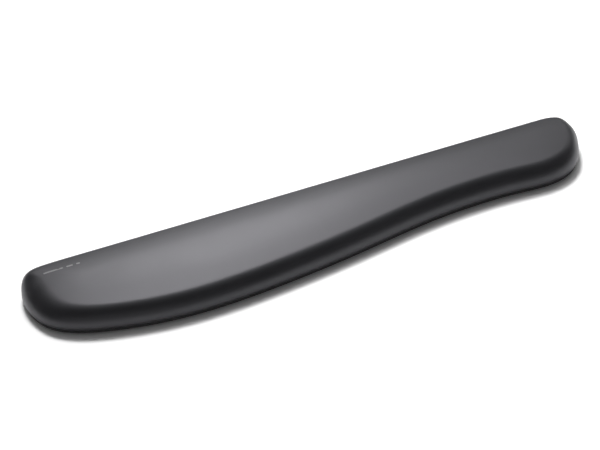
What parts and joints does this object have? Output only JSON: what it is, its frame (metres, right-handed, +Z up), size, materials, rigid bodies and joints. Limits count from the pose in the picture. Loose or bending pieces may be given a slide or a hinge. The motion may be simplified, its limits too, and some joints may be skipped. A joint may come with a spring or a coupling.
{
  "type": "keyboard wrist rest",
  "caption": "Long gel wrist rest with a straight keyboard edge and a curved front edge, a soft leather-look cover over a gel and foam core, and a non-slip base.",
  "frame": {"origin": "on the desk plane, at the centre of the plan's bounding box", "axes": "+X along the length to the right-hand end, +Y towards the keyboard edge, +Z up from the desk"},
  "size_m": [0.4501, 0.0797, 0.0228],
  "materials": {
    "leatherette": "soft matt leather-look polyurethane, fine smooth grain",
    "mark_ink": "matt screen-print ink",
    "pouch_film": "clear film",
    "gel": "soft clear gel",
    "foam": "open-cell polyurethane foam",
    "adhesive": "clear adhesive film",
    "base_plastic": "moulded, fine matt texture",
    "sole_rubber": "matt, with a fine raised grip pattern",
    "label_paper": "blank satin label stock"
  },
  "bodies": {
    "root": {"cover_skin": "leatherette", "printed_mark": "mark_ink", "gel_film_upper": "pouch_film", "gel_film_lower": "pouch_film", "gel_pad": "gel", "foam_core": "foam", "core_adhesive": "adhesive", "border_tape": "adhesive", "sole_adhesive": "adhesive", "base_plate": "base_plastic", "sole_pad": "sole_rubber", "rating_label": "label_paper"}
  },
  "joints": []
}
